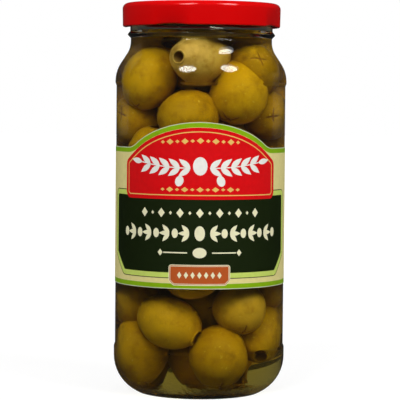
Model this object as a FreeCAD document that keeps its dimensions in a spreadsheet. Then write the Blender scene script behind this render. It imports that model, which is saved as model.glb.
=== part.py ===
import FreeCAD, Part

import math
import os
import re

import Sketcher

# A glass jar of pitted green olives in brine, closed with a twist-off metal lid and wrapped in a paper label.
# It stands on Z = 0 with its axis on Z, and the middle of its label faces -Y. Millimetres and degrees.

# The driving sizes, one spreadsheet cell each.
SIZES = {
    # glass, outside
    "mouth_height": 161.6,
    "jar_radius": 35.65,
    "step_depth": 0.45,
    "bearing_inset": 10.15,
    "bearing_width": 1.8,
    "push_up": 2.8,
    "heel_height": 16.6,
    "heel_land": 2.2,
    "step_height": 2.8,
    "neck_drop": 15.56,
    "shoulder_round": 13.6,
    "shoulder_slope": 33.0,
    "neck_blend": 9.4,
    "neck_undercut": 0.25,
    "bead_drop": 12.7,
    "bead_reach": 1.15,
    "bead_height": 2.9,
    "finish_radius": 29.65,
    "lip_round": 0.8,
    # glass, inside
    "wall": 2.1,
    "neck_wall": 2.5,
    "floor_height": 5.2,
    "floor_dish": 1.2,
    "floor_inset": 13.5,
    "floor_climb": 12.6,
    # thread on the neck and lugs in the lid, which hook under it
    "thread_count": 4,
    "thread_drop": 4.4,
    "thread_height": 1.8,
    "thread_reach": 1.4,
    "thread_angle": 62.0,
    "thread_turn": 67.0,
    "lug_angle": 13.0,
    "lug_height": 1.3,
    "lug_grip": 0.3,
    "lug_clearance": 0.2,
    # lid
    "lid_clearance": 1.6,
    "lid_height": 9.8,
    "lid_taper": 0.2,
    "lid_sheet": 0.3,
    "lid_corner": 2.4,
    "lid_curl": 0.6,
    "recess_clearance": 1.0,
    "recess_depth": 0.9,
    "recess_slope": 1.4,
    "button_radius": 9.0,
    "button_rise": 0.4,
    "button_slope": 1.2,
    # brine
    "headspace": 14.6,
    # paper label
    "paper": 0.15,
    "label_foot_gap": 24.4,
    "label_head_gap": 13.7,
    "label_back_gap": 26.0,
    "arch_rise": 10.5,
    "arch_half_width": 27.5,
}

# What follows from the driving sizes. A name may use the ones above it.
DERIVED = {
    "bearing_radius": "jar_radius - bearing_inset",
    "bearing_inner": "bearing_radius - bearing_width",
    "heel_round": "(bearing_inset ^ 2 + heel_height ^ 2) / (2 * bearing_inset)",
    "heel_top": "heel_height + heel_land",
    "panel_start": "heel_top + step_height",
    "panel_radius": "jar_radius - step_depth",
    "neck_radius": "finish_radius - neck_undercut",
    "bead_radius": "finish_radius + bead_reach",
    "shoulder_run": "shoulder_round * (1 - cos(shoulder_slope))",
    "blend_run": "neck_blend * (1 - cos(shoulder_slope))",
    "straight_run": "jar_radius - neck_radius - shoulder_run - blend_run",
    "round_rise": "(shoulder_round + neck_blend) * sin(shoulder_slope)",
    "neck_base": "mouth_height - neck_drop",
    "shoulder_start": "neck_base - round_rise - straight_run / tan(shoulder_slope)",
    "panel_end": "shoulder_start - step_height",
    "neck_wall_radius": "finish_radius - neck_wall",
    "neck_blend_inside": "neck_blend + wall",
    "shoulder_round_inside": "shoulder_round - wall",
    "inside_radius": "panel_radius - wall",
    "floor_radius": "jar_radius - floor_inset",
    "floor_edge": "floor_height - floor_dish",
    "floor_run": "inside_radius - floor_radius",
    "floor_round": "(floor_run ^ 2 + floor_climb ^ 2) / (2 * floor_run)",
    "bead_middle": "mouth_height - bead_drop",
    "bead_low": "bead_middle - bead_height / 2",
    "bead_top": "bead_middle + bead_height / 2",
    "brine_level": "mouth_height - headspace",
    "thread_top": "mouth_height - thread_drop",
    "thread_low": "thread_top - thread_height",
    "thread_radius": "finish_radius + thread_reach",
    "thread_root": "finish_radius - lip_round",
    "lid_radius": "thread_radius + lid_clearance + lid_sheet",
    "lid_inside": "lid_radius - lid_sheet",
    "lid_corner_inside": "lid_corner - lid_sheet",
    "lid_top": "mouth_height + lid_sheet",
    "lid_low": "lid_top - lid_height",
    "lid_corner_low": "lid_top - lid_corner",
    "skirt_radius": "lid_radius - lid_taper",
    "skirt_inside": "skirt_radius - lid_sheet",
    "curl_middle": "lid_low + lid_curl",
    "curl_inside": "skirt_radius - 2 * lid_curl",
    "recess_outer": "neck_wall_radius - recess_clearance",
    "recess_inner": "recess_outer - recess_slope",
    "recess_top": "lid_top - recess_depth",
    "button_foot": "button_radius + button_slope",
    "button_top": "recess_top + button_rise",
    "lug_inner": "thread_radius - lug_grip",
    "lug_outer": "skirt_radius - lid_sheet / 2",
    "lug_top": "thread_low - lug_clearance",
    "lug_low": "lug_top - lug_height",
    "label_radius": "panel_radius + paper",
    "label_low": "panel_start + label_foot_gap",
    "arch_top": "panel_end - label_head_gap",
    "label_high": "arch_top - arch_rise",
    "arch_round": "(arch_half_width ^ 2 + arch_rise ^ 2) / (2 * arch_rise)",
    "trim_reach": "2 * jar_radius",
    "trim_high": "arch_top + paper",
}

doc = FreeCAD.newDocument("OliveJar")


def make_sheet():
    """The spreadsheet of driving sizes: a name in column A and its value, with that name as alias, in column B."""
    sheet = doc.addObject("Spreadsheet::Sheet", "Sizes")
    for row, (name, size) in enumerate(SIZES.items(), start=1):
        sheet.set(f"A{row}", name)
        sheet.set(f"B{row}", str(size))
        sheet.setAlias(f"B{row}", name)
    doc.recompute()
    return sheet


sheet = make_sheet()


def bound(formula):
    """The formula as an expression of the sheet's cells alone, with each derived name written out."""

    def in_cells(match):
        name = match.group(0)
        if name in DERIVED:
            return f"({bound(DERIVED[name])})"
        return f"Sizes.{name}" if name in SIZES else name

    return re.sub(r"[a-z_]+", in_cells, formula)


def size(formula):
    """What the formula comes to with the sheet's present values."""
    return float(sheet.evalExpression(bound(formula)))


def origin_feature(body, role):
    """The body's own origin plane or axis with that role."""
    return next(item for item in body.Origin.OriginFeatures if item.Role == role)


def new_body(label):
    body = doc.addObject("PartDesign::Body", label.capitalize() + "Body")
    body.Label = label
    body.Placement = FreeCAD.Placement()
    return body


def arc_centre(start, end, radius, turn):
    """The centre of the short arc from start to end. A turn of 1 is to the left, and of -1 to the right."""
    chord = end - start
    reach = math.sqrt(radius**2 - chord.Length**2 / 4)
    left = FreeCAD.Vector(-chord.y, chord.x, 0).normalize()
    return (start + end) / 2 + left * reach * turn


def draw_outline(body, name, plane, corners):
    """A closed, fully constrained sketch on one of the body's origin planes.

    A corner is (across, up), or (across, up, radius, turn) where an arc leads from it to the next corner.
    """
    sketch = body.newObject("Sketcher::SketchObject", name)
    sketch.AttachmentSupport = [(origin_feature(body, plane), "")]
    sketch.MapMode = "FlatFace"
    spots = [FreeCAD.Vector(size(corner[0]), size(corner[1]), 0) for corner in corners]
    begins, ends = [], []
    for index, corner in enumerate(corners):
        start, end = spots[index], spots[(index + 1) % len(spots)]
        if len(corner) == 2:
            edge = sketch.addGeometry(Part.LineSegment(start, end), False)
            begins.append((edge, 1))
            ends.append((edge, 2))
            continue
        radius, turn = corner[2:]
        centre = arc_centre(start, end, size(radius), turn)
        first, last = (start, end) if turn > 0 else (end, start)
        circle = Part.Circle(centre, FreeCAD.Vector(0, 0, 1), size(radius))
        angles = [math.atan2(spot.y - centre.y, spot.x - centre.x) for spot in (first, last)]
        edge = sketch.addGeometry(Part.ArcOfCircle(circle, *angles), False)
        begins.append((edge, 1 if turn > 0 else 2))
        ends.append((edge, 2 if turn > 0 else 1))
        bind(sketch, Sketcher.Constraint("Radius", edge, size(radius)), radius)
    for index, corner in enumerate(corners):
        sketch.addConstraint(Sketcher.Constraint("Coincident", *ends[index - 1], *begins[index]))
        for kind, axis, formula, length in zip(("DistanceX", "DistanceY"), (-2, -1), corner, spots[index]):
            if formula == "0":
                sketch.addConstraint(Sketcher.Constraint("PointOnObject", *begins[index], axis))
            else:
                bind(sketch, Sketcher.Constraint(kind, -1, 1, *begins[index], length), formula)
    return sketch


def bind(sketch, constraint, formula):
    """Add a dimension to the sketch and tie it to the sheet."""
    index = sketch.addConstraint(constraint)
    sketch.setExpression(f"Constraints[{index}]", bound(formula))


def turn_outline(body, kind, name, corners, angle=None):
    """A revolution or groove about the body's upright axis of an outline in its front plane.

    Without an angle it goes all the way round. With one it is a segment, and its middle stands thread_turn degrees
    round from the +X axis.
    """
    sketch = draw_outline(body, name + "Outline", "XZ_Plane", corners)
    feature = body.newObject("PartDesign::" + kind, name)
    feature.Profile = sketch
    feature.ReferenceAxis = (sketch, ["V_Axis"])
    feature.Angle = 360
    if angle:
        upright = FreeCAD.Vector(0, 1, 0)
        sketch.AttachmentOffset = FreeCAD.Placement(
            FreeCAD.Vector(), FreeCAD.Rotation(upright, size("thread_turn"))
        )
        sketch.setExpression("AttachmentOffset.Rotation.Angle", bound("thread_turn"))
        feature.Midplane = True
        feature.setExpression("Angle", bound(angle))
    sketch.Visibility = False
    return feature


def repeat_round(body, feature, name, count):
    """The feature repeated evenly about the body's upright axis."""
    pattern = body.newObject("PartDesign::PolarPattern", name)
    pattern.Originals = [feature]
    pattern.Axis = (origin_feature(body, "Z_Axis"), [""])
    pattern.Angle = 360
    pattern.setExpression("Occurrences", bound(count))
    body.Tip = pattern
    return pattern


def slanted_shoulder(side, top_side, drop_from, round_over, blend_in):
    """The corners from an upright side, over the round shoulder and its slope, to the narrower upright neck.

    The two arcs and the straight slope between them start at the height drop_from.
    """
    slope_run = f"({round_over} * (1 - cos(shoulder_slope)))"
    blend_run = f"({blend_in} * (1 - cos(shoulder_slope)))"
    straight_rise = f"(({side} - {top_side} - {slope_run} - {blend_run}) / tan(shoulder_slope))"
    over_top = f"{drop_from} + {round_over} * sin(shoulder_slope)"
    return [
        (side, drop_from, round_over, 1),
        (f"{side} - {slope_run}", over_top),
        (f"{top_side} + {blend_run}", f"{over_top} + {straight_rise}", blend_in, -1),
        (top_side, f"{over_top} + {straight_rise} + {blend_in} * sin(shoulder_slope)"),
    ]


def cavity_outline():
    """The inside of the glass from its dished floor up to the mouth, as one closed outline."""
    shoulder = slanted_shoulder(
        "inside_radius", "neck_wall_radius", "shoulder_start", "shoulder_round_inside", "neck_blend_inside"
    )
    return [
        ("0", "floor_height"),
        ("floor_radius", "floor_edge", "floor_round", 1),
        ("inside_radius", "floor_edge + floor_climb"),
        *shoulder,
        ("neck_wall_radius", "mouth_height"),
        ("0", "mouth_height"),
    ]


def make_jar():
    """The glass: a round body with a raised heel and shoulder, a beaded neck and a lug thread."""
    jar = new_body("jar")
    outside = [
        ("0", "push_up"),
        ("bearing_inner", "0"),
        ("bearing_radius", "0", "heel_round", 1),
        ("jar_radius", "heel_height"),
        ("jar_radius", "heel_top"),
        ("panel_radius", "panel_start"),
        ("panel_radius", "panel_end"),
        *slanted_shoulder("jar_radius", "neck_radius", "shoulder_start", "shoulder_round", "neck_blend"),
        ("neck_radius", "bead_low"),
        ("bead_radius", "bead_middle"),
        ("finish_radius", "bead_top"),
        ("finish_radius", "mouth_height - lip_round", "lip_round", 1),
        ("finish_radius - lip_round", "mouth_height"),
        ("0", "mouth_height"),
    ]
    turn_outline(jar, "Revolution", "Glass", outside)
    turn_outline(jar, "Groove", "Cavity", cavity_outline())
    thread_section = [
        ("thread_root", "thread_low"),
        ("thread_radius", "thread_low"),
        ("thread_radius", "thread_top - thread_height / 2"),
        ("thread_root", "thread_top"),
    ]
    thread = turn_outline(jar, "Revolution", "Thread", thread_section, "thread_angle")
    repeat_round(jar, thread, "Threads", "thread_count")
    return jar


def make_brine():
    """The brine with its olives: all of the cavity up to the level."""
    brine = new_body("brine")
    turn_outline(brine, "Revolution", "Filling", cavity_outline())
    over_level = [
        ("0", "brine_level"),
        ("jar_radius", "brine_level"),
        ("jar_radius", "lid_top"),
        ("0", "lid_top"),
    ]
    turn_outline(brine, "Groove", "Headspace", over_level)
    return brine


def make_lid():
    """The pressed steel lid: a recessed panel with a button, a rounded skirt, a curled rim and inner lugs."""
    lid = new_body("lid")
    sheet_metal = [
        ("0", "button_top"),
        ("0", "button_top - lid_sheet"),
        ("button_radius", "button_top - lid_sheet"),
        ("button_foot", "recess_top - lid_sheet"),
        ("recess_inner", "recess_top - lid_sheet"),
        ("recess_outer", "mouth_height"),
        ("lid_radius - lid_corner", "mouth_height", "lid_corner_inside", -1),
        ("lid_inside", "lid_corner_low"),
        ("skirt_inside", "curl_middle + lid_curl"),
        ("curl_inside", "curl_middle + lid_curl"),
        ("curl_inside", "curl_middle"),
        ("skirt_radius - lid_curl", "lid_low", "lid_curl", 1),
        ("skirt_radius", "curl_middle"),
        ("lid_radius", "lid_corner_low", "lid_corner", 1),
        ("lid_radius - lid_corner", "lid_top"),
        ("recess_outer", "lid_top"),
        ("recess_inner", "recess_top"),
        ("button_foot", "recess_top"),
        ("button_radius", "button_top"),
    ]
    turn_outline(lid, "Revolution", "Shell", sheet_metal)
    lug_section = [
        ("lug_inner", "lug_low"),
        ("lug_outer", "lug_low"),
        ("lug_outer", "lug_top"),
        ("lug_inner", "lug_top"),
    ]
    lug = turn_outline(lid, "Revolution", "Lug", lug_section, "lug_angle")
    repeat_round(lid, lug, "Lugs", "thread_count")
    return lid


def trim_above(body, name, corners, towards_back):
    """Cut away what lies inside an outline in the front plane, over the front or the back half of the body."""
    sketch = draw_outline(body, name + "Outline", "XZ_Plane", corners)
    doc.recompute()
    before = body.Shape.Volume
    pocket = body.newObject("PartDesign::Pocket", name)
    pocket.Profile = sketch
    pocket.Type = "Length"
    pocket.setExpression("Length", bound("trim_reach"))
    pocket.Reversed = not towards_back
    sketch.Visibility = False
    doc.recompute()
    if body.Shape.Volume >= before:
        raise RuntimeError(f"{name} cuts nothing")


def make_label():
    """The paper label: a band round the jar, open at the back, whose top edge rises in an arch at the front."""
    label = new_body("label")
    section = [
        ("panel_radius", "label_low"),
        ("label_radius", "label_low"),
        ("label_radius", "arch_top"),
        ("panel_radius", "arch_top"),
    ]
    turn_outline(label, "Revolution", "Band", section)
    back_gap = [
        ("-label_back_gap / 2", "label_low - paper"),
        ("label_back_gap / 2", "label_low - paper"),
        ("label_back_gap / 2", "trim_high"),
        ("-label_back_gap / 2", "trim_high"),
    ]
    over_arch = [
        ("-trim_reach", "label_high"),
        ("-arch_half_width", "label_high", "arch_round", -1),
        ("0", "arch_top", "arch_round", -1),
        ("arch_half_width", "label_high"),
        ("trim_reach", "label_high"),
        ("trim_reach", "trim_high"),
        ("-trim_reach", "trim_high"),
    ]
    over_back = [
        ("-trim_reach", "label_high"),
        ("trim_reach", "label_high"),
        ("trim_reach", "trim_high"),
        ("-trim_reach", "trim_high"),
    ]
    trim_above(label, "BackGap", back_gap, True)
    trim_above(label, "BackTrim", over_back, True)
    trim_above(label, "ArchTrim", over_arch, False)
    return label


pieces = [make_jar(), make_brine(), make_lid(), make_label()]
doc.recompute()

for item in doc.Objects:
    if {"Invalid", "Error"} & set(item.State):
        raise RuntimeError(f"{item.Name} failed: {item.State}")
for piece in pieces:
    if piece.Shape.isNull() or not piece.Shape.isValid() or len(piece.Shape.Solids) != 1:
        raise RuntimeError(f"{piece.Label} is not one valid solid")

os.makedirs("parts", exist_ok=True)
for piece in pieces:
    piece.Shape.exportStep(f"parts/{piece.Label}.step")
    box = piece.Shape.optimalBoundingBox()
    print(f"{piece.Label}: {piece.Shape.Volume:.0f} mm3, {box.XLength:.2f} x {box.YLength:.2f} x {box.ZLength:.2f} mm")
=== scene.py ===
import math
import random

import bmesh
import bpy
import numpy as np
from mathutils import Matrix, Vector, noise


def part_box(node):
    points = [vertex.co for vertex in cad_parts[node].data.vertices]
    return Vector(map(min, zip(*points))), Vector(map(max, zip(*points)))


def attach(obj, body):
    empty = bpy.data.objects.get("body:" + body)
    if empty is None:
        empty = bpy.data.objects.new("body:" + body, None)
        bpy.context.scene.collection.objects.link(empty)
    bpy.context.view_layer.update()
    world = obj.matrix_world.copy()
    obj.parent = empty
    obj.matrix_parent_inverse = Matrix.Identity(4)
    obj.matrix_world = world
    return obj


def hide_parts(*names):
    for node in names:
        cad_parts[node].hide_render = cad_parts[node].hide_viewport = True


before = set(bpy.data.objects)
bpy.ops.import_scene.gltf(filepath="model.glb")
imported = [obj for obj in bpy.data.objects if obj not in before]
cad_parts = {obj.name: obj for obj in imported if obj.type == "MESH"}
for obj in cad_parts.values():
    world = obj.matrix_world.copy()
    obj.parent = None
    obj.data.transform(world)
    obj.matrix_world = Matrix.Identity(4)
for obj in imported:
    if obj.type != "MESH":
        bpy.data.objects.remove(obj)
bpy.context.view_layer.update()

# A jar of pitted green olives in brine, with a red lid and a printed paper label.
# It stands on Z = 0 with its axis on Z, and the middle of its label faces -Y. Everything is in metres.

MM = 0.001

# ---------------------------------------------------------------- sizes, from the frame where it has them

JAR_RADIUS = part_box("jar")[1][0]
MOUTH_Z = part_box("jar")[1][2]
LID_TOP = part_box("lid")[1][2]
LID_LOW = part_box("lid")[0][2]
LID_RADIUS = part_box("lid")[1][0]
BRINE_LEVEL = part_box("brine")[1][2]
LABEL_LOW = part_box("label")[0][2]
ARCH_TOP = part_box("label")[1][2]

# The glass. Its label panel is set back between heel and shoulder, and the finish is what the lid screws on.
PANEL_STEP = 0.45 * MM
PANEL_RADIUS = JAR_RADIUS - PANEL_STEP
WALL = 2.1 * MM
INSIDE_RADIUS = PANEL_RADIUS - WALL
FINISH_RADIUS = 29.65 * MM
NECK_RADIUS = FINISH_RADIUS - 0.25 * MM
BORE = FINISH_RADIUS - 2.5 * MM
BEAD_RADIUS = FINISH_RADIUS + 1.15 * MM
BEAD_Z = MOUTH_Z - 12.7 * MM
SLOPE = math.radians(33)
NECK_CORNER_Z = MOUTH_Z - 18.35 * MM
SHOULDER_CORNER_Z = NECK_CORNER_Z - (JAR_RADIUS - NECK_RADIUS) / math.tan(SLOPE)
SHOULDER_ROUND = 13.6 * MM
NECK_ROUND = 9.4 * MM
HEEL_TOP = 18.8 * MM
HEEL_ROUND = 16.5 * MM
BEARING_RADIUS = JAR_RADIUS - 10.15 * MM
PUSH_UP = 2.8 * MM

# The cavity: a low dome in the floor, the lowest ring round it, and where the floor meets the side.
FLOOR_Z = 5.2 * MM
FLOOR_LOW = 4.0 * MM
FLOOR_RING = JAR_RADIUS - 13.5 * MM
FLOOR_SIDE = 5.54 * MM

# How far the brine reaches into the wall.
SINK = 0.15 * MM

PAPER = 0.15 * MM
LABEL_RADIUS = PANEL_RADIUS + PAPER


# ---------------------------------------------------------------- outlines

# Steps once round, the turn between two points of an arc, and how close two points are one.
AROUND = 144
ARC_STEP = math.radians(7)
MERGE = 0.001 * MM


def rounded(corners, closed=False):
    """Points of an outline whose corners are (x, y), or (x, y, radius) where an arc rounds the corner."""
    points = []
    count = len(corners)
    for index, corner in enumerate(corners):
        here = Vector(corner[:2])
        if len(corner) == 2 or (not closed and index in (0, count - 1)):
            points.append(here)
            continue
        back = (Vector(corners[index - 1][:2]) - here).normalized()
        ahead = (Vector(corners[(index + 1) % count][:2]) - here).normalized()
        half = back.angle(ahead) / 2
        middle = here + (back + ahead).normalized() * corner[2] / math.sin(half)
        spread = math.pi / 2 - half
        towards = here - middle
        first = math.atan2(towards.y, towards.x)
        side = 1 if back.x * ahead.y - back.y * ahead.x < 0 else -1
        steps = max(2, round(spread * 2 / ARC_STEP))
        for step in range(steps + 1):
            angle = first + side * spread * (2 * step / steps - 1)
            points.append(middle + Vector((math.cos(angle), math.sin(angle))) * corner[2])
    return points


def turned(outline, steps=AROUND):
    """A bmesh of a (radius, height) outline spun once round Z, with its faces outwards."""
    bm = bmesh.new()
    verts = [bm.verts.new((radius, 0, height)) for radius, height in outline]
    edges = [bm.edges.new(pair) for pair in zip(verts, verts[1:])]
    bmesh.ops.spin(bm, geom=verts + edges, axis=(0, 0, 1), steps=steps, angle=math.tau, use_merge=True)
    bmesh.ops.remove_doubles(bm, verts=bm.verts, dist=MERGE)
    bmesh.ops.recalc_face_normals(bm, faces=bm.faces)
    return bm


def make_piece(name, bm, materials):
    """A smooth mesh object at the origin that rides on the jar's one body."""
    for face in bm.faces:
        face.smooth = True
    mesh = bpy.data.meshes.new(name)
    bm.to_mesh(mesh)
    bm.free()
    for material in materials:
        mesh.materials.append(material)
    piece = bpy.data.objects.new(name, mesh)
    bpy.context.scene.collection.objects.link(piece)
    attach(piece, "root")
    return piece


# ---------------------------------------------------------------- materials


def linear(red, green, blue):
    """A colour given in 0 to 255 steps of the screen, as the linear colour that a shader takes."""
    steps = (value / 255 for value in (red, green, blue))
    return (*(s / 12.92 if s <= 0.04045 else ((s + 0.055) / 1.055) ** 2.4 for s in steps), 1)


def grey(value):
    return (value, value, value, 1)


def shade(colour, factor):
    return (*(channel * factor for channel in colour[:3]), 1)


class Finish:
    """A node material with one Principled shader, and short ways to add nodes to it."""

    def __init__(self, name, **settings):
        self.material = bpy.data.materials.new(name)
        self.material.use_nodes = True
        self.nodes = self.material.node_tree.nodes
        self.shader = self.nodes["Principled BSDF"]
        self.output = self.nodes["Material Output"]
        for socket, value in settings.items():
            self.shader.inputs[socket.replace("_", " ")].default_value = value

    def link(self, source, target):
        self.material.node_tree.links.new(source, target)

    def add(self, kind, links=None, **settings):
        """A new node. Settings are its properties or inputs, and links are {input: source}."""
        node = self.nodes.new("ShaderNode" + kind)
        for key, value in settings.items():
            if hasattr(node, key):
                setattr(node, key, value)
            else:
                node.inputs[key.replace("_", " ")].default_value = value
        for key, source in (links or {}).items():
            self.link(source, node.inputs[key])
        return node

    def place(self):
        return self.add("TexCoord").outputs["Object"]

    def noise(self, scale, detail=3.0, roughness=0.55, stretch=None):
        place = self.place()
        if stretch:
            place = self.add("Mapping", {"Vector": place}, Scale=stretch).outputs["Vector"]
        return self.add("TexNoise", {"Vector": place}, Scale=scale, Detail=detail, Roughness=roughness)

    def ramp(self, source, *stops):
        """A colour ramp over (position, colour) stops."""
        node = self.add("ValToRGB", {"Fac": source})
        elements = node.color_ramp.elements
        while len(elements) < len(stops):
            elements.new(0.5)
        for element, (position, colour) in zip(elements, stops):
            element.position = position
            element.color = colour
        return node.outputs["Color"]

    def bump(self, height, distance, strength=1.0):
        node = self.add("Bump", {"Height": height}, Distance=distance, Strength=strength)
        self.link(node.outputs["Normal"], self.shader.inputs["Normal"])


def lamp_clear(finish):
    """Let the lamps' light through a clear material, so that it reaches what is behind the glass."""
    path = finish.add("LightPath").outputs["Is Shadow Ray"]
    clear = finish.add("BsdfTransparent", Color=(0.96, 0.97, 0.95, 1))
    mix = finish.add("MixShader", {0: path, 1: finish.shader.outputs["BSDF"], 2: clear.outputs["BSDF"]})
    finish.link(mix.outputs["Shader"], finish.output.inputs["Surface"])


def flint_glass():
    """Clear glass, faintly wavy, with a fine stipple that fades out above the foot."""
    finish = Finish(
        "flint_glass", Base_Color=(0.95, 0.965, 0.90, 1), Roughness=0.0, IOR=1.5, Transmission_Weight=1.0
    )
    waviness = finish.noise(60, 2.0, stretch=(1, 1, 0.35)).outputs["Fac"]
    height = finish.add("SeparateXYZ", {"Vector": finish.place()}).outputs["Z"]
    foot = finish.add(
        "MapRange", {"Value": height}, From_Min=3 * MM, From_Max=7 * MM, To_Min=3.0, To_Max=0.0
    )
    stipple = finish.noise(700, 2.0).outputs["Fac"]
    ground = finish.add("Math", {0: foot.outputs["Result"], 1: stipple}, operation="MULTIPLY")
    relief = finish.add("Math", {0: waviness, 1: ground.outputs["Value"]}, operation="ADD")
    finish.bump(relief.outputs["Value"], 0.06 * MM)
    lamp_clear(finish)
    return finish.material


def clear_brine():
    """Salt water that soaks up blue, and a little green and red, over the depth of the jar."""
    finish = Finish(
        "clear_brine", Base_Color=(1, 1, 1, 1), Roughness=0.0, IOR=1.34, Transmission_Weight=1.0
    )
    lamp_clear(finish)
    soak = finish.add("VolumeAbsorption", Color=(0.87, 0.75, 0.0, 1), Density=45.0)
    finish.link(soak.outputs["Volume"], finish.output.inputs["Volume"])
    return finish.material


def olive_flesh():
    """Waxy green-yellow skin, mottled and speckled, that varies from olive to olive and is brown where cut.

    The tone attribute holds each olive's shade in its red, which also paints some of the light and shade on
    the olives placed one by one, and how far a place is cut flesh in its green, which deepens the brown down
    the hole and the cross cut as painted shade.
    """
    finish = Finish("olive_flesh", Roughness=0.42, IOR=1.42, Specular_IOR_Level=0.06)
    tone = finish.add("Attribute", attribute_name="tone")
    split = finish.add("SeparateColor", {"Color": tone.outputs["Color"]})
    own = finish.ramp(
        split.outputs["Red"],
        (0.0, linear(150, 112, 0)),
        (0.5, linear(182, 141, 0)),
        (1.0, linear(190, 158, 74)),
    )
    blotches = finish.noise(150, 5.0, 0.65).outputs["Fac"]
    mottle = finish.ramp(
        blotches,
        (0.3, (0.66, 0.58, 0.4, 1)),
        (0.5, (0.97, 0.96, 0.9, 1)),
        (0.68, (1.1, 1.09, 1, 1)),
    )
    skin = finish.add("MixRGB", {"Color1": own, "Color2": mottle}, blend_type="MULTIPLY", Fac=1.0)
    speck = finish.ramp(finish.noise(900, 1.0).outputs["Fac"], (0.68, grey(0)), (0.78, grey(0.8)))
    pale = finish.add(
        "MixRGB",
        {"Fac": speck, "Color1": skin.outputs["Color"]},
        blend_type="MIX",
        Color2=linear(194, 164, 50),
    )
    # Brown for cut flesh; the tone's green paints it darker deeper in the hole and the cross cut, a painted
    # shade.
    cut = finish.add(
        "MixRGB",
        {"Fac": split.outputs["Green"], "Color1": pale.outputs["Color"]},
        blend_type="MIX",
        Color2=linear(100, 55, 16),
    )
    finish.link(cut.outputs["Color"], finish.shader.inputs["Base Color"])
    finish.bump(finish.noise(420, 3.0).outputs["Fac"], 0.05 * MM)
    return finish.material


def red_lacquer():
    """Glossy red enamel on the outside of the lid."""
    finish = Finish("red_lacquer", Roughness=0.16, IOR=1.4)
    drift = finish.noise(26, 2.0).outputs["Fac"]
    red = finish.ramp(drift, (0.3, linear(211, 0, 1)), (0.7, linear(222, 1, 2)))
    finish.link(red, finish.shader.inputs["Base Color"])
    finish.bump(finish.noise(1500, 2.0).outputs["Fac"], 0.01 * MM)
    return finish.material


def lid_lining():
    """The pale lacquer inside the lid."""
    finish = Finish("lid_lining", Roughness=0.35, Metallic=0.3)
    drift = finish.noise(200, 2.0).outputs["Fac"]
    colour = finish.ramp(drift, (0.3, linear(150, 140, 112)), (0.7, linear(168, 158, 130)))
    finish.link(colour, finish.shader.inputs["Base Color"])
    return finish.material


def printed(name, colour):
    """Ink on label paper: a flat field that the paper's fibres mottle and emboss very slightly."""
    finish = Finish(name, Roughness=0.55, Specular_IOR_Level=0.15)
    drift = finish.noise(500, 4.0).outputs["Fac"]
    ink = finish.ramp(drift, (0.25, shade(colour, 0.93)), (0.75, shade(colour, 1.04)))
    finish.link(ink, finish.shader.inputs["Base Color"])
    finish.bump(finish.noise(2200, 3.0, stretch=(1, 1, 0.4)).outputs["Fac"], 0.012 * MM)
    return finish.material


# What rays through the glass see of the floor, a painted glow: a dark middle far behind the jar as painted
# shade, lighter sides as painted light, and painted shadow close by.
SHADE_STRAIGHT_BEHIND = (0.03, 0.015, 0.003, 1)
LIGHT_BESIDE = (0.30, 0.22, 0.09, 1)
SHADOW_CLOSE_BY = (0.05, 0.04, 0.02, 1)

# What gloss mirrors of the room, floor and walls alike; on the floor this is a painted reflection, a fixed
# dim glow.
MIRRORED_ROOM = 0.03


def studio_floor():
    """A pale floor that the camera sees as white paper, with the jar's shadow on it close by."""
    finish = Finish("studio_floor", Roughness=0.9, Specular_IOR_Level=0.0)
    grain = finish.ramp(finish.noise(8, 2.0).outputs["Fac"], (0.3, grey(0.28)), (0.7, grey(0.3)))
    finish.link(grain, finish.shader.inputs["Base Color"])
    far = finish.add("VectorMath", {0: finish.place()}, operation="LENGTH").outputs["Value"]
    glow = finish.ramp(far, (0.3, grey(0.78)), (1.0, grey(1)))
    paper = finish.add("Emission", {"Color": glow}, Strength=1.0)
    seen = finish.add("AddShader", {0: finish.shader.outputs["BSDF"], 1: paper.outputs["Emission"]})
    path = finish.add("LightPath")
    # In gloss the floor shows a fixed dim glow, a painted reflection.
    dim = finish.add("Emission", Color=grey(1), Strength=MIRRORED_ROOM)
    across = finish.add("SeparateXYZ", {"Vector": finish.place()}).outputs["X"]
    aside = finish.add("Math", {0: across}, operation="ABSOLUTE").outputs["Value"]
    # Through glass the floor glows a painted view: painted shade behind, painted light beside, painted
    # shadow close by.
    painted_beyond = finish.ramp(aside, (0.12, SHADE_STRAIGHT_BEHIND), (0.4, LIGHT_BESIDE))
    close = finish.ramp(far, (0.35, grey(1)), (0.7, grey(0)))
    ground = finish.add("MixRGB", {"Fac": close, "Color1": painted_beyond}, blend_type="MIX", Color2=SHADOW_CLOSE_BY)
    through = finish.add("Emission", {"Color": ground.outputs["Color"]}, Strength=1.0)
    shown = finish.shader.outputs["BSDF"]
    for ray, look in (("Glossy", dim), ("Transmission", through), ("Camera", seen)):
        mix = finish.add("MixShader", {0: path.outputs[f"Is {ray} Ray"], 1: shown, 2: look.outputs[0]})
        shown = mix.outputs["Shader"]
    finish.link(shown, finish.output.inputs["Surface"])
    return finish.material


# ---------------------------------------------------------------- glass and brine


def inner_wall(grow=0.0):
    """Corners of the inside of the glass, from the middle of the floor up to the bore."""
    side = INSIDE_RADIUS + grow
    drop = WALL * math.tan(SLOPE / 2)
    return [
        (0, FLOOR_Z - grow),
        (FLOOR_RING, FLOOR_LOW - grow, 8 * MM),
        (side, FLOOR_SIDE - grow, 12.5 * MM),
        (side, SHOULDER_CORNER_Z - drop, SHOULDER_ROUND - WALL),
        (BORE + grow, NECK_CORNER_Z - drop - 0.45 * MM, NECK_ROUND + WALL),
    ]


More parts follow.
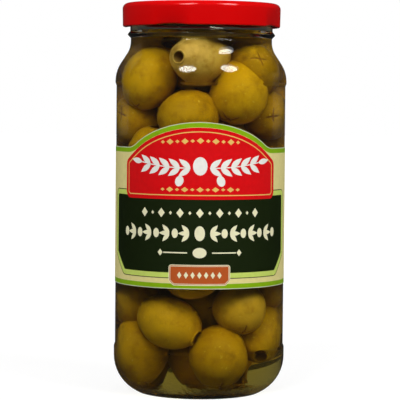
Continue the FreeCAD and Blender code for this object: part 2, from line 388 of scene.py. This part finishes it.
def make_glass():
    """The jar: pushed-up base, bearing ring, heel, label panel, shoulder, neck, bead and lip."""
    outside = [
        (0, PUSH_UP),
        (BEARING_RADIUS - 7 * MM, 2.5 * MM, 3 * MM),
        (BEARING_RADIUS - 2.2 * MM, 0, 0.5 * MM),
        (BEARING_RADIUS, 0, 1.2 * MM),
        (JAR_RADIUS, 5.2 * MM, HEEL_ROUND),
        (JAR_RADIUS, HEEL_TOP + 0.3 * MM, 1.2 * MM),
        (PANEL_RADIUS, HEEL_TOP + 1.5 * MM, 1.2 * MM),
        (PANEL_RADIUS, SHOULDER_CORNER_Z - 5.9 * MM, 0.9 * MM),
        (JAR_RADIUS, SHOULDER_CORNER_Z - 4.7 * MM, 0.5 * MM),
        (JAR_RADIUS, SHOULDER_CORNER_Z, SHOULDER_ROUND),
        (NECK_RADIUS, NECK_CORNER_Z, NECK_ROUND),
        (NECK_RADIUS, BEAD_Z - 1.45 * MM, 0.5 * MM),
        (BEAD_RADIUS, BEAD_Z, 0.35 * MM),
        (FINISH_RADIUS, BEAD_Z + 1.45 * MM, 0.5 * MM),
        (FINISH_RADIUS, MOUTH_Z, 0.8 * MM),
        (BORE, MOUTH_Z, 0.8 * MM),
    ]
    outline = rounded(outside + inner_wall()[::-1])
    glass = make_piece("glass_jar", turned(outline), [flint_glass()])
    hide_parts("jar")


def make_brine():
    """The liquid, which reaches just into the glass wall and creeps a little way up it."""
    wall = inner_wall(SINK)
    level = [
        (BORE + SINK, BRINE_LEVEL + 1.0 * MM),
        (BORE - 0.3 * MM, BRINE_LEVEL + 0.9 * MM, 0.3 * MM),
        (BORE - 1.6 * MM, BRINE_LEVEL, 1.5 * MM),
        (0, BRINE_LEVEL),
    ]
    brine = make_piece("brine_liquid", turned(rounded(wall + level)), [clear_brine()])
    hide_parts("brine")


# ---------------------------------------------------------------- olives


def facing(azimuth, elevation=0.0):
    """The direction that many degrees round from the front, to the right, and above the horizontal."""
    around, up = math.radians(azimuth), math.radians(elevation)
    return Vector((math.sin(around) * math.cos(up), -math.cos(around) * math.cos(up), math.sin(up)))


# The olives placed one by one, against the glass: azimuth, height, width and length, then the azimuth
# and elevation at which the pitted end points, and the shade from 0, brown, to 1, pale. Besides each olive's
# own colour, its shade paints some of the light and shade that falls on it. Lengths are in millimetres.
# The last three keep the top filled at the sides and back.
SHOWN_OLIVES = [
    (-60, 130, 21.5, 25, 120, 62, 0.5),
    (-2, 138, 19.5, 27, -40, 4, 0.95),
    (40, 124, 22.5, 24.5, 150, 55, 0.42),
    (-12, 115, 22.5, 24, 120, 40, 0.16),
    (64, 134, 20, 24, 200, -22, 0.12),
    (82, 116, 20, 23, 206, 2, 0.15),
    (-84, 113, 20, 23, 132, -16, 0.35),
    (-50, 100, 20.5, 23, 30, 75, 0.35),
    (38, 99, 20.5, 23, 200, 65, 0.3),
    (-80, 39, 20, 23, 10, 80, 0.3),
    (-30, 31, 21, 26, 68, -28, 0.53),
    (-6, 51, 20, 23, 100, 12, 0.3),
    (42, 37, 20.5, 22.5, 200, 60, 0.6),
    (20, 18, 22, 24.5, 190, 70, 0.10),
    (72, 25.5, 21, 27, 14, -42, 0.22),
    (-72, 19, 21.5, 25, -100, 72, 0.4),
    (88, 46, 20, 23, 90, 80, 0.3),
    (105, 139, 20, 23, 10, 60, 0.5),
    (180, 139, 21, 24, 90, 10, 0.5),
    (-115, 139, 20, 23, 40, 20, 0.5),
]

# Where no olive has settled, at the jar's foot on the right, and how far round it stays clear.
CLEAR_POCKET = facing(68) * 22 * MM + Vector((0, 0, 10 * MM))
CLEAR_REACH = 23 * MM

# The other olives start in layers, six in a ring and one in the middle, with every second ring turned by
# half a place. The first layer's height and the rise to the next are in millimetres.
LAYERS = 9
FIRST_LAYER = 15
LAYER_RISE = 16.2
RING_REACH = 21 * MM
ROOM_NEEDED = 15 * MM

# How many times they are shoved apart, and the part of each overlap that one shove takes away.
SHOVES = 240
SHOVE = 0.35

# (Radius, height) along the inside of the wall, above the floor's lowest ring.
INSIDE_LINE = np.array([tuple(point) for point in rounded(inner_wall()) if point.y > 4.1 * MM])


def inside_radius(height):
    """How far the cavity reaches from the axis at a height."""
    return float(np.interp(height, INSIDE_LINE[:, 1], INSIDE_LINE[:, 0]))


def resting_place(azimuth, height, width):
    """The middle of an olive of that width that all but touches the glass."""
    reach = inside_radius(height) - width / 2 - 0.4 * MM
    return facing(azimuth) * reach + Vector((0, 0, height))


def shown_olives():
    """The olives placed one by one, each as [middle, width, length, pitted end's direction, shade]."""
    return [
        [resting_place(azimuth, z * MM, width * MM), width * MM, length * MM, facing(turn, tilt), pale]
        for azimuth, z, width, length, turn, tilt, pale in SHOWN_OLIVES
    ]


def olives_between(placed, random_source):
    """Olives for the places in the layers where there is room between the placed ones."""
    free = []
    for layer in range(LAYERS):
        height = (FIRST_LAYER + LAYER_RISE * layer) * MM
        spots = [(60 * step + 30 * (layer % 2), RING_REACH, height) for step in range(6)]
        spots.append((0, 0, height + 8 * MM))
        for azimuth, reach, level in spots:
            width = random_source.uniform(19.5, 22) * MM
            middle = facing(azimuth + random_source.uniform(-8, 8)) * reach + Vector((0, 0, level))
            aim = facing(random_source.uniform(0, 360), random_source.uniform(-70, 70))
            if (middle - CLEAR_POCKET).length < CLEAR_REACH:
                continue
            if all((middle - other[0]).length > ROOM_NEEDED for other in placed):
                length = width * random_source.uniform(1.08, 1.2)
                free.append([middle, width, length, aim, random_source.uniform(0.1, 0.7)])
    return free


def settle(placed, free):
    """All the olives, with the free ones shoved off the others and kept inside the glass and the brine."""
    olives = placed + free
    centres = np.array([tuple(olive[0]) for olive in olives])
    sizes = np.array([(olive[1] + olive[2]) / 4 for olive in olives])
    moves = np.array([0.0] * len(placed) + [1.0] * len(free))
    same = np.eye(len(olives))
    for _ in range(SHOVES):
        gap = centres[:, None] - centres[None]
        distance = np.linalg.norm(gap, axis=2) + same
        overlap = np.clip(sizes[:, None] + sizes[None] - distance, 0, None) * (1 - same)
        push = (gap / distance[..., None] * overlap[..., None]).sum(axis=1) * SHOVE
        centres += push * moves[:, None]
        reach = np.linalg.norm(centres[:, :2], axis=1)
        limit = np.array([inside_radius(z) for z in centres[:, 2]]) - sizes
        shrink = np.where(moves > 0, np.minimum(1, limit / np.maximum(reach, 1e-9)), 1)
        centres[:, :2] *= shrink[:, None]
        low, high = FLOOR_Z + sizes, BRINE_LEVEL - sizes
        centres[:, 2] = np.where(moves > 0, np.clip(centres[:, 2], low, high), centres[:, 2])
    for olive, centre in zip(olives, centres):
        olive[0] = Vector(centre)
    return olives


# The cross cut is looked for past this angle from the pitted end.
BLOSSOM_END = math.radians(150)
CUT_DEPTH = 0.8 * MM
CUT_WIDTH = math.radians(1.6)

# The punched hole goes in by three rings: how much each narrows, how many millimetres it goes down, and
# how brown it is, browner further down as painted shade in the hole.
HOLE_RINGS = ((0.9, 0.6, 0.3), (0.88, 2.8, 0.7), (0.9, 4.2, 0.95))


def blossom_cut(polar, turn, arms):
    """How deep the cross cut is at a place near the blossom end, from 0 to 1."""
    off = math.degrees(math.pi - polar)
    depth = 1.0 if off < 4 else 0.0
    for angle, reach in arms:
        aside = abs((turn - angle + math.pi) % math.tau - math.pi) * math.sin(math.radians(off))
        if off < reach:
            depth = max(depth, 1 - aside / CUT_WIDTH)
    return depth


def olive_mesh(middle, width, length, aim, pale, number, random_source):
    """One pitted olive: an uneven egg with a punched hole at its +Z end and a cross cut at the other."""
    bm = bmesh.new()
    tone = bm.verts.layers.float_color.new("tone")
    made = bmesh.ops.create_uvsphere(bm, u_segments=40, v_segments=26, radius=1.0)["verts"]
    hole = random_source.uniform(3.3, 4.0) * MM
    taper = random_source.uniform(-0.10, 0.02)
    seed = Vector((number * 7.3, number * 3.1, number * 5.7))
    arms = [
        (step * math.pi / 2 + random_source.uniform(-0.3, 0.3), random_source.uniform(13, 25))
        for step in range(4)
    ]
    pole = max(made, key=lambda vert: vert.co.z)
    around_pole = {vert for face in pole.link_faces for vert in face.verts if vert is not pole}
    ring = sorted(around_pole, key=lambda vert: math.atan2(vert.co.y, vert.co.x))
    bmesh.ops.delete(bm, geom=[pole], context="VERTS")
    for vert in bm.verts:
        vert[tone] = (pale, 0, 0, 1)
        polar = math.acos(max(-1, min(1, vert.co.z)))
        turn = math.atan2(vert.co.y, vert.co.x)
        bulge = 1 + taper * vert.co.z + 0.055 * noise.noise(vert.co * 1.3 + seed)
        x, y, z = vert.co
        vert.co = Vector((x * width / 2 * bulge, y * width / 2 * bulge, z * length / 2))
        if polar > BLOSSOM_END:
            cut = blossom_cut(polar, turn, arms)
            # Deeper in the cut the flesh is painted browner: painted shade in the cross cut.
            if cut > 0:
                vert.co.z += CUT_DEPTH * cut
                vert[tone] = (pale, 0.9 * min(1, cut + 0.35), 0, 1)
    rim_z = ring[0].co.z
    for vert in ring:
        side = Vector((vert.co.x, vert.co.y, 0)).normalized() * hole
        lip = 0.3 * MM * noise.noise(Vector((side.x, side.y, number)) * 300)
        vert.co = Vector((side.x, side.y, rim_z - 0.5 * MM + lip))
    rim = list({edge for vert in ring for edge in vert.link_edges if edge.is_boundary})
    for inward, down, brown in HOLE_RINGS:
        grown = bmesh.ops.extrude_edge_only(bm, edges=rim)["geom"]
        verts = [item for item in grown if isinstance(item, bmesh.types.BMVert)]
        rim = [item for item in grown if isinstance(item, bmesh.types.BMEdge) and item.is_boundary]
        bmesh.ops.scale(bm, vec=(inward, inward, 1), verts=verts)
        bmesh.ops.translate(bm, vec=(0, 0, -down * MM), verts=verts)
        # Each ring further down the hole is painted browner: painted shade in the hole.
        for vert in verts:
            vert[tone] = (pale, brown, 0, 1)
    bmesh.ops.edgeloop_fill(bm, edges=rim)
    bmesh.ops.recalc_face_normals(bm, faces=bm.faces)
    turn = aim.to_track_quat("Z", "Y").to_matrix().to_4x4()
    bmesh.ops.transform(bm, matrix=Matrix.Translation(middle) @ turn, verts=bm.verts)
    mesh = bpy.data.meshes.new("one_olive")
    bm.to_mesh(mesh)
    bm.free()
    return mesh


def make_olives():
    random_source = random.Random(7)
    placed = shown_olives()
    packed = settle(placed, olives_between(placed, random_source))
    bm = bmesh.new()
    for number, olive in enumerate(packed):
        one = olive_mesh(*olive, number, random_source)
        bm.from_mesh(one)
        bpy.data.meshes.remove(one)
    olives = make_piece("olives", bm, [olive_flesh()])


# ---------------------------------------------------------------- lid

# The sheet's thickness, how much wider the lid is at its top, the rim's curl, and the top's
# recess and button.
LID_SHEET = 0.25 * MM
LID_TAPER = 0.2 * MM
CURL = 0.6 * MM
RECESS = 0.9 * MM
BUTTON_RISE = 0.4 * MM

# The rim is pressed in at each lug: the first lug's azimuth and how wide each is, in degrees, then how high
# the dent reaches, how deep it is and how far it lifts the rim.
LUGS = 4
LUG_TURN = -23
LUG_WIDTH = 26
DENT_HEIGHT = 3.2 * MM
DENT_DEPTH = 1.3 * MM
DENT_LIFT = 0.5 * MM


def make_lid():
    """Pressed steel lid: recessed panel with a button, rounded skirt, curled rim pressed in at each lug."""
    skirt = LID_RADIUS - LID_TAPER
    recess_z = LID_TOP - RECESS
    corners = [
        (0, recess_z + BUTTON_RISE),
        (9.0 * MM, recess_z + BUTTON_RISE, 1.5 * MM),
        (10.2 * MM, recess_z, 1.5 * MM),
        (24.7 * MM, recess_z, 1.2 * MM),
        (26.1 * MM, LID_TOP, 1.2 * MM),
        (LID_RADIUS, LID_TOP, 2.4 * MM),
        (skirt, LID_LOW, CURL),
        (skirt - 2 * CURL, LID_LOW, CURL * 0.95),
        (skirt - 2 * CURL, LID_LOW + 1.6 * CURL),
    ]
    bm = turned(rounded(corners), 192)
    for vert in bm.verts:
        height = vert.co.z - LID_LOW
        if height > DENT_HEIGHT:
            continue
        azimuth = math.degrees(math.atan2(vert.co.x, -vert.co.y)) - LUG_TURN
        off = abs((azimuth + 180 / LUGS) % (360 / LUGS) - 180 / LUGS)
        press = max(0.0, math.cos(min(off / (LUG_WIDTH / 2), 1) * math.pi / 2)) ** 0.7
        fade = (1 - height / DENT_HEIGHT) ** 0.8
        inward = 1 - press * fade * DENT_DEPTH / skirt
        vert.co.x *= inward
        vert.co.y *= inward
        vert.co.z += press * fade * DENT_LIFT
    lid = make_piece("twist_lid", bm, [red_lacquer(), lid_lining()])
    wall = lid.modifiers.new("sheet", "SOLIDIFY")
    wall.thickness = LID_SHEET
    wall.offset = -1
    wall.material_offset = 1
    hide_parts("lid")


# ---------------------------------------------------------------- label

# It is drawn flat in (distance round, height) and then wrapped.
# The sheet leaves a gap at the back, and its top edge rises in an arch about the front.
BACK_GAP = 26 * MM
HALF_WRAP = PANEL_RADIUS * (math.pi - math.asin(BACK_GAP / 2 / PANEL_RADIUS))
ARCH_RISE = 10.5 * MM
BAND_TOP = ARCH_TOP - ARCH_RISE
ARCH_HALF = 31.5 * MM
ARCH_RADIUS = (ARCH_HALF**2 + ARCH_RISE**2) / (2 * ARCH_RISE)
ARCH_CENTRE = ARCH_TOP - ARCH_RADIUS

# Each ink layer lies this much further out than the one under it. It is cut into strips to follow the curve.
INK = 0.03 * MM
STRIP = 1.2 * MM
STALK = 0.22 * MM


def arch(radius, half_width, steps=16):
    """Points over the arch from right to left, on a circle about the arch's own centre."""
    half_angle = math.asin(half_width / radius)
    angles = [half_angle * (1 - 2 * step / steps) for step in range(steps + 1)]
    return [(radius * math.sin(a), ARCH_CENTRE + radius * math.cos(a)) for a in angles]


def wrap_print(name, shapes, materials, layer, thickness=INK):
    """Flat shapes cut into narrow strips, wrapped round the label and given a thickness inwards.

    A shape is (outline, border widths). Its border rings take the first materials and its middle the next.
    """
    bm = bmesh.new()
    for outline, borders in shapes:
        face = bm.faces.new([bm.verts.new((x, y, 0)) for x, y in outline])
        face.normal_update()
        for index, border in enumerate(borders):
            inset = bmesh.ops.inset_region(
                bm, faces=[face], thickness=border, use_boundary=True, use_even_offset=True
            )
            for ring in inset["faces"]:
                ring.material_index = index
            face.material_index = index + 1
    cuts = int(max(abs(vert.co.x) for vert in bm.verts) / STRIP)
    for step in range(-cuts, cuts + 1):
        geometry = bm.verts[:] + bm.edges[:] + bm.faces[:]
        bmesh.ops.bisect_plane(bm, geom=geometry, plane_co=(step * STRIP, 0, 0), plane_no=(1, 0, 0))
    radius = LABEL_RADIUS + layer * INK
    for vert in bm.verts:
        turn = vert.co.x / PANEL_RADIUS
        vert.co = Vector((radius * math.sin(turn), -radius * math.cos(turn), vert.co.y))
    bm.normal_update()
    bmesh.ops.solidify(bm, geom=bm.faces[:], thickness=thickness)
    piece = make_piece(name, bm, materials)
    piece.data.set_sharp_from_angle(angle=math.radians(40))
    return piece


def turn_about(x, y, degrees, points):
    cos, sin = math.cos(math.radians(degrees)), math.sin(math.radians(degrees))
    return [(x + a * cos - b * sin, y + a * sin + b * cos) for a, b in points]


def leaf(x, y, length, width, degrees):
    """A pointed leaf with its stalk end at (x, y) and its tip that many degrees round from the right."""
    upper = []
    for step in range(9):
        along = step / 8
        upper.append((length * along, width / 2 * math.sin(math.pi * along**0.85)))
    lower = [(a, -b) for a, b in upper[-2:0:-1]]
    return turn_about(x, y, degrees, upper + lower)


def oval(x, y, half_width, half_height, degrees=0, steps=20):
    angles = [math.tau * step / steps for step in range(steps)]
    points = [(half_width * math.cos(a), half_height * math.sin(a)) for a in angles]
    return turn_about(x, y, degrees, points)


def lozenge(x, y, half_width, half_height):
    return [(x - half_width, y), (x, y - half_height), (x + half_width, y), (x, y + half_height)]


def bar(x0, x1, y, thick):
    x0, x1 = sorted((x0, x1))
    return [(x0, y - thick / 2), (x1, y - thick / 2), (x1, y + thick / 2), (x0, y + thick / 2)]


def block(half_width, low, high, round_low, round_high, chamfer=0.0):
    """A rectangle about the middle line with rounded corners, the lower ones chamfered if asked."""
    right = [(half_width, high, round_high)]
    if chamfer:
        right = [(half_width - chamfer, low, round_low), (half_width, low + chamfer, round_low)] + right
    else:
        right = [(half_width, low, round_low)] + right
    left = [(-x, y, radius) for x, y, radius in right[::-1]]
    return rounded(right + left, closed=True)


def branch(side, start, y, count, pitch, leaf_length, leaf_width, rise):
    """A stalk with pairs of leaves, which runs outwards to one side and lifts towards its end."""
    shapes = []
    for step in range(count):
        x = side * (start + pitch * step)
        height = y + rise * (step / count) ** 2
        heading = 0 if side > 0 else 180
        for lean in (38, -34):
            shapes.append(leaf(x, height, leaf_length, leaf_width, heading + side * lean))
        lift = rise * ((step + 1) / count) ** 2 - rise * (step / count) ** 2
        end, above = x + side * pitch, height + lift
        shapes.append([(x, height - STALK), (end, above - STALK), (end, above + STALK), (x, height + STALK)])
    tip = side * (start + pitch * count)
    shapes.append(leaf(tip, y + rise, leaf_length, leaf_width, 10 if side > 0 else 170))
    return shapes


def make_paper():
    """The cut sheet: a pale edge, a green band inside it and cream paper within."""
    over = arch(ARCH_RADIUS, ARCH_HALF)
    sheet = rounded(
        [
            (-HALF_WRAP, LABEL_LOW),
            (HALF_WRAP, LABEL_LOW),
            (HALF_WRAP, BAND_TOP),
            (*over[0], 9 * MM),
            *over[1:-1],
            (*over[-1], 9 * MM),
            (-HALF_WRAP, BAND_TOP),
        ],
        closed=True,
    )
    inks = [
        printed("pale_edge", linear(206, 214, 176)),
        printed("green_ink", linear(136, 181, 2)),
        printed("cream_paper", linear(236, 224, 150)),
    ]
    paper = wrap_print("label_paper", [(sheet, [0.3 * MM, 1.8 * MM])], inks, 0, PAPER)
    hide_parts("label")


# The printed fields: half width round the jar, then the lower and upper edge.
PANEL_FIELD = (46.2 * MM, 50.2 * MM, 85.5 * MM)
RED_FIELD = (35.5 * MM, 82 * MM, 97 * MM)
PLAQUE_FIELD = (12.6 * MM, 47.4 * MM, 55.8 * MM)


def make_panel(dark_green):
    """The dark green field with its lime frame, cut off at the two lower corners."""
    panel = block(*PANEL_FIELD, 3.2 * MM, 3.2 * MM, chamfer=8.5 * MM)
    inks = [dark_green, printed("lime_ink", linear(206, 226, 108)), dark_green]
    wrap_print("green_panel", [(panel, [0.3 * MM, 2.0 * MM])], inks, 1)


def make_red_field(white, gold):
    """The red field under the arch: a gold line, a branch to each side of an olive, and rows of beads."""
    side, low, high = RED_FIELD
    over = arch(ARCH_RADIUS - 2.2 * MM, 27.5 * MM)
    corner = 3 * MM
    field = rounded(
        [(-side, low, corner), (side, low, corner), (side, high, corner), *over, (-side, high, corner)],
        closed=True,
    )
    red = printed("red_ink", linear(224, 0, 8))
    wrap_print("red_field", [(field, [1.5 * MM, 0.4 * MM])], [red, gold, red], 2)
    spray = [oval(0, 95.4 * MM, 2.9 * MM, 3.7 * MM)]
    for hand in (1, -1):
        spray += branch(hand, 3.9 * MM, 94.6 * MM, 5, 4.3 * MM, 6.0 * MM, 2.3 * MM, 2.2 * MM)
        spray.append(oval(hand * 8.4 * MM, 89.4 * MM, 1.7 * MM, 2.2 * MM, hand * 20))
    wrap_print("white_branch", [(shape, []) for shape in spray], [white], 3)
    beads = []
    for step in range(-5, 6):
        x = step * 3.1 * MM
        size = 0.9 if step % 2 else 1.5
        beads.append(lozenge(x, 105.6 * MM - abs(step) * 0.12 * MM, size * MM, size * 0.8 * MM))
        beads.append(lozenge(x, 86.0 * MM, size * MM, size * 0.7 * MM))
    wrap_print("gold_beads", [(shape, []) for shape in beads], [gold], 3)


def make_plaque(ivory):
    """The terracotta plaque at the panel's foot, with a pale line in its edge and a row of studs."""
    clay = printed("terracotta_ink", linear(190, 88, 34))
    plaque = block(*PLAQUE_FIELD, 1.2 * MM, 1.2 * MM, chamfer=1.9 * MM)
    wrap_print("plaque", [(plaque, [0.3 * MM, 0.25 * MM, 0.2 * MM])], [ivory, clay, ivory, clay], 2)
    studs = [lozenge(step * 2.7 * MM, 51.6 * MM, 0.9 * MM, 1.4 * MM) for step in range(-3, 4)]
    wrap_print("plaque_studs", [(shape, []) for shape in studs], [ivory], 3)


LOZENGE_ROW = 76.6 * MM
GARLAND_ROW = 68.4 * MM
CLOSING_ROW = 60.6 * MM


def make_panel_ornament(ivory):
    """Three rows on the dark field: lozenges, a leafy garland with olives, and a short closing row."""
    shapes = []
    for step in range(-6, 7):
        tall = 1.9 if step % 2 == 0 else 0.8
        shapes.append(lozenge(step * 4.0 * MM, LOZENGE_ROW, tall * 0.8 * MM, tall * MM))
    for side in (1, -1):
        for step in range(4):
            start = side * (4.2 + 8.2 * step) * MM
            for lean in (48, 0, -48):
                heading = (0 if side > 0 else 180) + lean
                shapes.append(leaf(start, GARLAND_ROW, 4.6 * MM, 1.8 * MM, heading))
            shapes.append(oval(start + side * 5.9 * MM, GARLAND_ROW, 1.3 * MM, 1.9 * MM))
        shapes.append(bar(side * 5 * MM, side * 15 * MM, CLOSING_ROW, 0.5 * MM))
        shapes.append(lozenge(side * 16.4 * MM, CLOSING_ROW, 1.1 * MM, 1.4 * MM))
    shapes.append(oval(0, GARLAND_ROW, 2.1 * MM, 3.0 * MM))
    shapes.append(oval(0, CLOSING_ROW, 2.8 * MM, 2.1 * MM))
    wrap_print("ivory_ornament", [(shape, []) for shape in shapes], [ivory], 2)


def make_fine_print():
    """Plain ruled lines on the sides, where the small print goes, and an empty ruled table."""
    ink = printed("fine_print_ink", linear(110, 104, 70))
    chance = random.Random(11)
    shapes = []
    for row in range(12):
        y = (94 - 3.4 * row) * MM
        shapes.append(bar(-88 * MM, (-56 - chance.uniform(0, 9)) * MM, y, 0.9 * MM))
    for row in range(11):
        y = (96 - 4 * row) * MM
        shapes.append(bar(56 * MM, 88 * MM, y, 0.35 * MM))
        if row < 10:
            shapes.append(bar(58 * MM, (66 + chance.uniform(0, 8)) * MM, y - 2 * MM, 0.8 * MM))
            shapes.append(bar(83 * MM, 86 * MM, y - 2 * MM, 0.8 * MM))
    wrap_print("fine_print", [(shape, []) for shape in shapes], [ink], 1)


def make_label():
    """The paper and, over it, each printed field from the lowest ink up."""
    white = printed("white_ink", linear(246, 244, 236))
    ivory = printed("ivory_ink", linear(244, 240, 200))
    gold = printed("gold_ink", linear(240, 196, 104))
    make_paper()
    make_panel(printed("dark_green_ink", linear(22, 34, 6)))
    make_red_field(white, gold)
    make_plaque(ivory)
    make_panel_ornament(ivory)
    make_fine_print()


# ---------------------------------------------------------------- studio

LAMP_SIZE = (0.39, 0.43)
LAMP_DISTANCE = 1.1
LAMP_POWER = 5.0

# The cloth glows as its lamp does, and its sharp mirror image in glass is this much fainter.
CLOTH_GLOW = LAMP_POWER / (math.pi * math.pi * LAMP_SIZE[0] * LAMP_SIZE[1] / 4)
SHARP_MIRRORED = 0.2

# How bright the room is on the object, on what is inside the glass, and high up behind the glass.
AMBIENT = 0.5
INSIDE_LIGHT = 0.035
BEHIND_GLASS = 0.24

FLOOR_REACH = 6.0


class Rays:
    """Light that differs by the kind of ray that meets it, for a lamp or for the world."""

    def __init__(self, owner):
        owner.use_nodes = True
        self.nodes = owner.node_tree.nodes
        self.links = owner.node_tree.links
        self.path = self.nodes.new("ShaderNodeLightPath").outputs

    def choose(self, factor, otherwise, chosen):
        """One number where the factor is 0 and another where it is 1."""
        mix = self.nodes.new("ShaderNodeMix")
        self.links.new(factor, mix.inputs["Factor"])
        for socket, value in ((mix.inputs["A"], otherwise), (mix.inputs["B"], chosen)):
            if isinstance(value, float):
                socket.default_value = value
            else:
                self.links.new(value, socket)
        return mix.outputs["Result"]

    def compare(self, operation, first, second):
        node = self.nodes.new("ShaderNodeMath")
        node.operation = operation
        self.links.new(first, node.inputs[0])
        if isinstance(second, float):
            node.inputs[1].default_value = second
        else:
            self.links.new(second, node.inputs[1])
        return node.outputs["Value"]


def softbox_face():
    """The lit cloth of a softbox, whose mirror image in smooth glass is faint."""
    finish = Finish("softbox_cloth")
    rays = Rays(finish.material)
    glow = finish.add("Emission", Color=grey(1))
    strength = rays.choose(rays.path["Is Singular Ray"], CLOTH_GLOW, CLOTH_GLOW * SHARP_MIRRORED)
    finish.link(strength, glow.inputs["Strength"])
    finish.link(glow.outputs["Emission"], finish.output.inputs["Surface"])
    return finish.material


def make_softbox(name, azimuth, elevation, target, cloth):
    """An oval softbox: a lamp that lights the jar, and the cloth on it that gloss and glass mirror."""
    data = bpy.data.lights.new(name, "AREA")
    data.shape = "ELLIPSE"
    data.size, data.size_y = LAMP_SIZE
    data.energy = LAMP_POWER
    lamp = bpy.data.objects.new(name, data)
    lamp.visible_glossy = False
    place = target + facing(azimuth, elevation) * LAMP_DISTANCE
    turn = (place - target).to_track_quat("Z", "Y")

    bm = bmesh.new()
    bmesh.ops.create_circle(bm, cap_ends=True, segments=48, radius=0.5)
    bmesh.ops.scale(bm, vec=(*LAMP_SIZE, 1), verts=bm.verts)
    mesh = bpy.data.meshes.new(name + "_cloth")
    bm.to_mesh(mesh)
    bm.free()
    mesh.materials.append(cloth)
    face = bpy.data.objects.new(name + "_cloth", mesh)
    for unseen in ("camera", "diffuse", "transmission", "shadow"):
        setattr(face, "visible_" + unseen, False)
    for item in (lamp, face):
        bpy.context.scene.collection.objects.link(item)
        item.location = place
        item.rotation_euler = turn.to_euler()


def make_world():
    """White where the camera sees it, soft light on the object, and a dim room in gloss and behind glass."""
    world = bpy.data.worlds.new("studio")
    bpy.context.scene.world = world
    rays = Rays(world)
    direction = rays.nodes.new("ShaderNodeSeparateXYZ")
    rays.links.new(rays.nodes.new("ShaderNodeTexCoord").outputs["Generated"], direction.inputs["Vector"])
    away = rays.compare("GREATER_THAN", direction.outputs["Y"], 0.5)
    risen = rays.compare("GREATER_THAN", direction.outputs["Z"], 0.05)
    through = rays.path["Is Transmission Ray"]
    behind = rays.compare("MULTIPLY", rays.compare("MULTIPLY", away, risen), through)
    light = rays.choose(rays.path["Is Glossy Ray"], AMBIENT, MIRRORED_ROOM)
    light = rays.choose(through, light, INSIDE_LIGHT)
    light = rays.choose(behind, light, BEHIND_GLASS)
    light = rays.choose(rays.path["Is Camera Ray"], light, 1.0)
    background = rays.nodes["Background"]
    background.inputs["Color"].default_value = (1, 1, 1, 1)
    rays.links.new(light, background.inputs["Strength"])


def make_floor():
    bm = bmesh.new()
    bmesh.ops.create_grid(bm, x_segments=8, y_segments=8, size=FLOOR_REACH)
    mesh = bpy.data.meshes.new("floor")
    bm.to_mesh(mesh)
    bm.free()
    mesh.materials.append(studio_floor())
    floor = bpy.data.objects.new("floor", mesh)
    bpy.context.scene.collection.objects.link(floor)


def make_studio():
    middle = Vector((0, 0, LID_TOP / 2))
    cloth = softbox_face()
    make_softbox("left_softbox", -22, 44, middle, cloth)
    make_softbox("right_softbox", 47, 44, middle, cloth)
    make_world()
    make_floor()
    bpy.context.scene.view_settings.view_transform = "Standard"


CAMERA_TARGET = Vector((0, 0, 80.1 * MM))
CAMERA_DISTANCE = 808 * MM
CAMERA_RISE = 2.95
CAMERA_ROLL = 0.5
LENS = 173.7
SENSOR = 36


def make_camera():
    """A long lens a little above the jar's middle, looking slightly down and turned half a degree."""
    data = bpy.data.cameras.new("camera")
    data.lens = LENS
    data.sensor_width = SENSOR
    data.clip_end = 50
    camera = bpy.data.objects.new("camera", data)
    bpy.context.scene.collection.objects.link(camera)
    camera.location = CAMERA_TARGET + facing(0, CAMERA_RISE) * CAMERA_DISTANCE
    look = (CAMERA_TARGET - camera.location).to_track_quat("-Z", "Y").to_matrix()
    roll = Matrix.Rotation(math.radians(CAMERA_ROLL), 3, "Z")
    camera.rotation_euler = (look @ roll).to_euler()
    bpy.context.scene.camera = camera


make_camera()
make_studio()
make_glass()
make_brine()
make_olives()
make_lid()
make_label()
